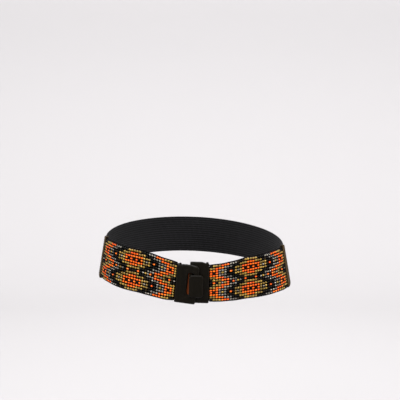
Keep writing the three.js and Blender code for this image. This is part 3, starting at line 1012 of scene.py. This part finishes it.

# %% [markdown]
# ## The leather at the hips
#
# At each hip the strands end on a thin rod inside a fold of leather, and the elastic band is sewn into
# the same fold. The leather is vegetable tanned, dyed dark brown and folded with its smooth side out. Its
# grain is a net of fine creases about 0.9 mm apart. It is olive brown, darker in a stripe beside the rod and
# along the cut edge. The bend itself is painted nearly black, as painted shadow where the beads meet the
# strip.
#
# The fold is a U-shaped loop, pushed up through the height of the band with the same round edges as a board.
# So that the stripes and the painted shadow follow the strip, each point carries its place on it, in
# millimetres, as an attribute.

# %% Dark brown leather
WEBBING = {"thick": 1.6, "height": 66, "tuck": 10.5}
LEATHER = {"thick": 1.4, "height": 71, "length": 16, "pared": 3, "edge": 0.35}
FOLD_CAVITY = WEBBING["thick"] / 2 + GAP
FOLD_HALF = FOLD_CAVITY + LEATHER["thick"]
FOLD_START = PANEL_END + GAP
FOLD_MIDDLE = FOLD_START + FOLD_HALF
FOLD_END = FOLD_START + LEATHER["length"]
CREASES, BLOTCHES = 0.9, 7
# The first stop darkens the bend: painted shadow where the beads meet the strip.
STRIPES_AND_SHADOW = [  # mm across the strip, from the bend to the open edge, and how light the leather is there
    (0.9, 0.25), (2.2, 1.0), (3.2, 0.95), (4.0, 0.4), (5.2, 0.8), (9.5, 0.75), (14.5, 0.55), (15.6, 0.15),
]


def grey(value):
    return "#" + f"{round(255 * value):02X}" * 3


def tanned_leather():
    material, tree = new_material("dyed_leather")
    net = add_node(
        tree, "TexVoronoi", {"feature": "DISTANCE_TO_EDGE"}, Vector=object_mm(tree), Scale=1 / CREASES
    )
    soft = add_node(tree, "MapRange", Value=net, From_Min=0.0, From_Max=0.25)
    place = add_node(tree, "Attribute", {"attribute_name": "belt_mm"})
    across = add_node(tree, "SeparateXYZ", Vector=place.outputs["Vector"])
    length = float(LEATHER["length"])
    share = add_node(tree, "Math", {"operation": "DIVIDE"}, _0=across.outputs["X"], _1=length)
    stripes = [(at / length, grey(lightness)) for at, lightness in STRIPES_AND_SHADOW]
    # The dark at the bend is painted shadow; the other stripes are drawn lighter and darker across the strip.
    colour_and_shadow = add_node(tree, "ValToRGB", stops=stripes, Fac=share)
    blotches = add_node(tree, "TexNoise", Vector=object_mm(tree), Scale=1 / BLOTCHES, Detail=4.0)
    dye_and_shadow = add_node(tree, "Math", {"operation": "MULTIPLY_ADD"}, _0=blotches, _1=0.4, _2=colour_and_shadow)
    shades = [(0.2, "#0B0703"), (0.5, "#241A0B"), (1.0, "#48371B")]
    shade = add_node(tree, "ValToRGB", stops=shades, Fac=dye_and_shadow)
    return finish_material(material, soft, 0.12, Base_Color=shade, Roughness=0.55, Specular_IOR_Level=0.05)


leather = tanned_leather()

# %% Fold the leather


def fold_outline():
    """The U seen from above: distance along the belt and distance out, anticlockwise."""
    def bend(radius, start, end, steps=14):
        angles = [math.radians(start + (end - start) * step / steps) for step in range(steps + 1)]
        return [Vector((FOLD_MIDDLE + radius * math.cos(a), radius * math.sin(a))) for a in angles]

    def layer(out, steps=5):
        length = FOLD_END - FOLD_MIDDLE
        return [Vector((FOLD_MIDDLE + length * step / steps, out)) for step in range(1, steps + 1)]

    outer = [*reversed(layer(FOLD_HALF)), *bend(FOLD_HALF, 90, 270), *layer(-FOLD_HALF)]
    inner = [*reversed(layer(-FOLD_CAVITY)), *bend(FOLD_CAVITY, 270, 90), *layer(FOLD_CAVITY)]
    return [*outer, *inner]


def put_leather(panel, places):
    """The fold's corners are pared away at the open edge. places takes down what the material reads."""
    def put(distance, out, depth):
        share = max(0, distance - FOLD_START) / LEATHER["length"]
        level = (LEATHER["height"] / 2 - depth) * (1 - 2 * LEATHER["pared"] / LEATHER["height"] * share**2)
        places.append((distance - FOLD_START, level, out))
        return band_point(panel["side"] * distance, panel["raised"] + level, out)
    return put


for name, panel in PANELS.items():
    shape = gather("belt_mm")
    edge = LEATHER["edge"], LEATHER["edge"]
    put = put_leather(panel, shape["belt_mm"])
    add_board(shape, [fold_outline()], LEATHER["height"], edge, edge, put)
    make_piece(f"leather_{name}", shape, [leather], [f"side_strip_{name}"])

# %% [markdown]
# The seam that holds leather and elastic together is sewn by machine with waxed thread, about three
# millimetres from the open edge. Each stitch dips into the leather at both ends. A rod of blackened steel,
# brown-black and nearly dull, keeps the strands in the fold, and its end shows at the top.

# %% Waxed thread and blackened steel
thread = even_finish("waxed_thread", "#241C14", "#3A2E20", 0.4, 0.05, Roughness=0.6)
steel = even_finish("blackened_steel", "#120D0A", "#2A1B13", 1.5, 0.02, Roughness=0.45, Metallic=0.6)

# %% Sew the seams and put in the rods
STITCH, STITCH_THREAD, SEAM_INSET = 3.4, 0.55, 3.2
SEAM_ENDS = 5  # bare leather above and below the seam, together
STITCH_SHARE = 0.86  # of the way from hole to hole, so that the stitches stay apart
STITCH_RISE, STITCH_DIP = 0.34, 0.2  # over the leather in the stitch's middle, and into it at its ends
STITCH_STEPS = 6
END_ROD = {"width": 1.7, "dome": 0.4}


def add_seam(shape, panel, out_side):
    distance = FOLD_END - SEAM_INSET
    count = int((LEATHER["height"] - SEAM_ENDS) / STITCH)
    surface = FOLD_HALF * out_side
    for stitch in range(count):
        middle = (stitch - (count - 1) / 2) * STITCH
        path = []
        for step in range(STITCH_STEPS + 1):
            share = step / STITCH_STEPS
            rise = STITCH_RISE * math.sin(math.pi * share) - STITCH_DIP
            level = panel["raised"] + middle + (share - 0.5) * STITCH * STITCH_SHARE
            path.append(band_point(panel["side"] * distance, level, surface + rise * out_side))
        add_tube(shape, path, STITCH_THREAD / 2, sides=8)


for name, panel in PANELS.items():
    seam = gather()
    for out_side in (1, -1):
        add_seam(seam, panel, out_side)
    make_piece(f"seam_{name}", seam, [thread])
    rod = gather()
    reach = LEATHER["height"] / 2 - GAP - END_ROD["dome"]
    ends = [band_point(panel["side"] * FOLD_MIDDLE, panel["raised"] + level) for level in (-reach, reach)]
    add_tube(rod, ends, END_ROD["width"] / 2, sides=20, dome=END_ROD["dome"])
    make_piece(f"rod_{name}", rod, [steel], [f"end_rod_{name}"])

# %% [markdown]
# ## The elastic band
#
# The back of the belt is black woven elastic, 66 mm wide. Its rubber cores run lengthwise and make fifteen
# flat ribs, about 4 mm apart, and the yarn that covers them crosses every rib at a slant. The ribs are real
# relief here, and their grooves are darkened with painted shade. The yarn is finer than a pixel, so it is
# drawn three times as coarse as the real one, as a bump, and its colour is painted lighter where it stands
# proud.
#
# The pattern has to follow the band round the hips, and object coordinates would slide off it in the curve.
# So here too each point of the mesh carries its own place on the band, which the material reads.

# %% Black woven elastic
RIBS, SELVEDGE = 15, 1.6  # the selvedge is the plain edge beyond the last rib
RIB = (WEBBING["height"] - 2 * SELVEDGE) / RIBS
YARN = 2.2


def woven_elastic():
    material, tree = new_material("black_woven_elastic")
    place = add_node(tree, "Attribute", {"attribute_name": "belt_mm"})
    parts = add_node(tree, "SeparateXYZ", Vector=place.outputs["Vector"])
    rib = add_node(tree, "Math", {"operation": "DIVIDE"}, _0=parts.outputs["Y"], _1=RIB)
    across = add_node(tree, "Math", {"operation": "PINGPONG"}, _0=rib, _1=0.5)
    # Painted shade: the colour darkens into the grooves between the ribs.
    groove_shade = add_node(
        tree, "MapRange", {"interpolation_type": "SMOOTHSTEP"}, Value=across, From_Min=0.2, From_Max=0.45
    )
    slant = add_node(tree, "Math", {"operation": "MULTIPLY_ADD"}, _0=across, _1=YARN, _2=parts.outputs["X"])
    turns = add_node(tree, "Math", {"operation": "MULTIPLY"}, _0=slant, _1=2 * math.pi / YARN)
    yarn = add_node(tree, "Math", {"operation": "SINE"}, _0=turns)
    fuzz = add_node(tree, "TexNoise", Vector=place.outputs["Vector"], Scale=1.4, Detail=2.0)
    height = add_node(tree, "Math", {"operation": "MULTIPLY_ADD"}, _0=yarn, _1=0.35, _2=fuzz)
    # Painted light and shade: lighter where the yarn stands proud, darker in the grooves. The fuzz adds
    # random tone.
    light = add_node(tree, "Math", {"operation": "MULTIPLY_ADD"}, _0=groove_shade, _1=-0.6, _2=height)
    shades = [(0.0, "#010101"), (0.5, "#1A1A1B"), (1.0, "#2E2E31")]
    shade = add_node(tree, "ValToRGB", stops=shades, Fac=light)
    return finish_material(
        material, height, 0.22, Base_Color=shade,
        Roughness=0.85, Sheen_Weight=0.04, Sheen_Roughness=0.5, Specular_IOR_Level=0.08,
    )


black_elastic = woven_elastic()

# %% Weave the band round the back
ELASTIC_STEPS = 130
SELVEDGE_ROUND = 0.5  # how far in from its end the cut starts to round off
ROUND_END = [(0.12, 0.4), (0, 0), (0.12, -0.4)]  # mm in from the end, and the share of half the thickness
RIB_RELIEF = 0.28
RIB_SHAPE = (0, 0.75, 1, 1, 0.75)  # how high a rib stands, in even steps from one groove to the next


def elastic_outline():
    """The cut across the band, as height and distance out, with a rib every RIB mm on both faces."""
    half, thick = WEBBING["height"] / 2, WEBBING["thick"] / 2
    face = [(half - SELVEDGE_ROUND, thick - RIB_RELIEF)]
    for step in range(RIBS * len(RIB_SHAPE) + 1):
        height = half - SELVEDGE - step * RIB / len(RIB_SHAPE)
        face.append((height, thick - RIB_RELIEF * (1 - RIB_SHAPE[step % len(RIB_SHAPE)])))
    face.append((-half + SELVEDGE_ROUND, thick - RIB_RELIEF))
    edge = [(-half + inward, share * thick) for inward, share in ROUND_END]
    return [*face, *edge, *[(h, -o) for h, o in reversed(face)], *[(-h, -o) for h, o in edge]]


def weave_band():
    shape = gather("belt_mm")
    outline = elastic_outline()
    tucked = FOLD_END - WEBBING["tuck"]
    length = 2 * (HALF_GIRTH - tucked)
    rings = []
    for step in range(ELASTIC_STEPS + 1):
        along = tucked + length * step / ELASTIC_STEPS
        distance = along if along < HALF_GIRTH else along - 2 * HALF_GIRTH
        rings.append([band_point(distance, height, out) for height, out in outline])
        shape["belt_mm"].extend((along, height, out) for height, out in outline)
    add_rings(shape, rings)
    print(f"elastic band: {WEBBING['height']} x {length:.0f} mm flat")
    band = make_piece("elastic_band", shape, [black_elastic], ["back_elastic"], sharp=ROUND)


weave_band()

# %% [markdown]
# ## The studio
#
# The belt hangs in the form in which it is worn, in a round room of pale paper. The floor curves up into the
# wall all round, so no horizon shows from any side.
#
# Black wood and black beads need care, because they show whatever stands in front of them. So the paper is
# greyer than it looks in the picture, the room itself gives hardly any light, and large soft boxes stand
# above and beside. A smaller one above the camera gives each bead its bright point, a faint one behind lights
# the back, and the strongest one turns to the wall behind the belt.

# %% Pale floor and backdrop
FLOOR, WALL, CURVE = -450, 3000, 900
ROOM_HEIGHT, ROOM_SIDES, CURVE_STEPS = 4000, 72, 12


def sweep_floor():
    """A round room: rings of points from the middle of the floor out, up the curve and up the wall."""
    profile = [(1, FLOOR), (WALL - CURVE, FLOOR)]
    for step in range(1, CURVE_STEPS + 1):
        angle = math.pi / 2 * step / CURVE_STEPS
        profile.append((WALL - CURVE * (1 - math.sin(angle)), FLOOR + CURVE * (1 - math.cos(angle))))
    profile.append((WALL, ROOM_HEIGHT))
    shape = gather()
    turns = [2 * math.pi * side / ROOM_SIDES for side in range(ROOM_SIDES)]
    add_rings(shape, [
        [Vector((r * math.sin(turn), r * math.cos(turn), z)) for turn in turns] for r, z in profile
    ])
    del shape["faces"][-1]
    return shape


floor_shape = sweep_floor()
floor_mesh = bpy.data.meshes.new("studio_floor")
floor_mesh.from_pydata([point * MM for point in floor_shape["points"]], [], floor_shape["faces"])
floor_mesh.shade_smooth()
studio_floor = bpy.data.objects.new("studio_floor", floor_mesh)
paper, _ = new_material("pale_paper")
finish_material(paper, Base_Color="#A2A0A1", Roughness=0.9, Specular_IOR_Level=0.1)
floor_mesh.materials.append(paper)
bpy.context.scene.collection.objects.link(studio_floor)

# %% Soft light
scene = bpy.context.scene
scene.view_settings.view_transform = "Standard"
world = bpy.data.worlds.new("studio")
scene.world = world
world.use_nodes = True
background = world.node_tree.nodes["Background"].inputs
background["Color"].default_value, background["Strength"].default_value = linear("#E9E8EA"), 0.02


def soft_box(name, at, size, power, target=(0, 0, 0)):
    """A square light that faces the target, its sides size metres long. Places are in metres too."""
    lamp = bpy.data.lights.new(name, "AREA")
    lamp.size, lamp.energy = size, power
    box = bpy.data.objects.new(name, lamp)
    box.location = at
    box.rotation_euler = (Vector(target) - Vector(at)).to_track_quat("-Z", "Y").to_euler()
    scene.collection.objects.link(box)
    print(f"{name}: {power} W")


soft_box("top_light", (0, -0.5, 2.2), 2.0, 78)
soft_box("left_light", (-2.4, -0.9, 0.8), 1.2, 36)
soft_box("right_light", (2.4, -1.1, 0.8), 1.2, 58)
soft_box("key_light", (-0.6, -2.2, 1.6), 0.8, 37)
soft_box("back_light", (0, 2.4, 1.8), 1.6, 4)
soft_box("backdrop_light", (0, 1.5, 2.6), 2.0, 140, target=(0, 3.0, 0.2))
